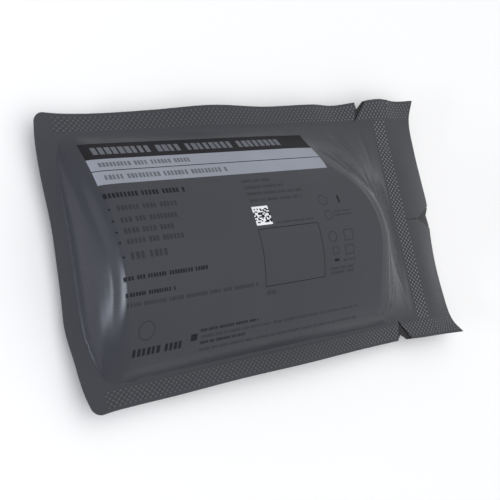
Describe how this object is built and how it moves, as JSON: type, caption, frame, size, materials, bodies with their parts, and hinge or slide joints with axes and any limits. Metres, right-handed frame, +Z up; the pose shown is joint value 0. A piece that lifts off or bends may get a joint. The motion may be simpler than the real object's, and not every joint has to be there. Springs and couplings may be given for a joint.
{
  "type": "vacuum-packed emergency trauma bandage",
  "caption": "Emergency trauma bandage folded and vacuum-packed in a heat-sealed film pouch with a draped crown, flat seals, a header flap and tear notches.",
  "frame": {"origin": "middle of the pouch's outline, on the plane that it rests on", "axes": "+X along the pouch from the closed end to the header flap, +Y across it, +Z up out of the front film"},
  "size_m": [0.1972, 0.1168, 0.0302],
  "materials": {
    "front_film": "dark grey laminate film with a soft sheen, knurled seals and grey and black print",
    "back_film": "plain dark grey laminate film, near black inside",
    "folded_bandage": "woven elastic cotton wrap, folded"
  },
  "bodies": {
    "root": {"front_film": "front_film", "back_film": "back_film", "folded_bandage": "folded_bandage"}
  },
  "joints": []
}
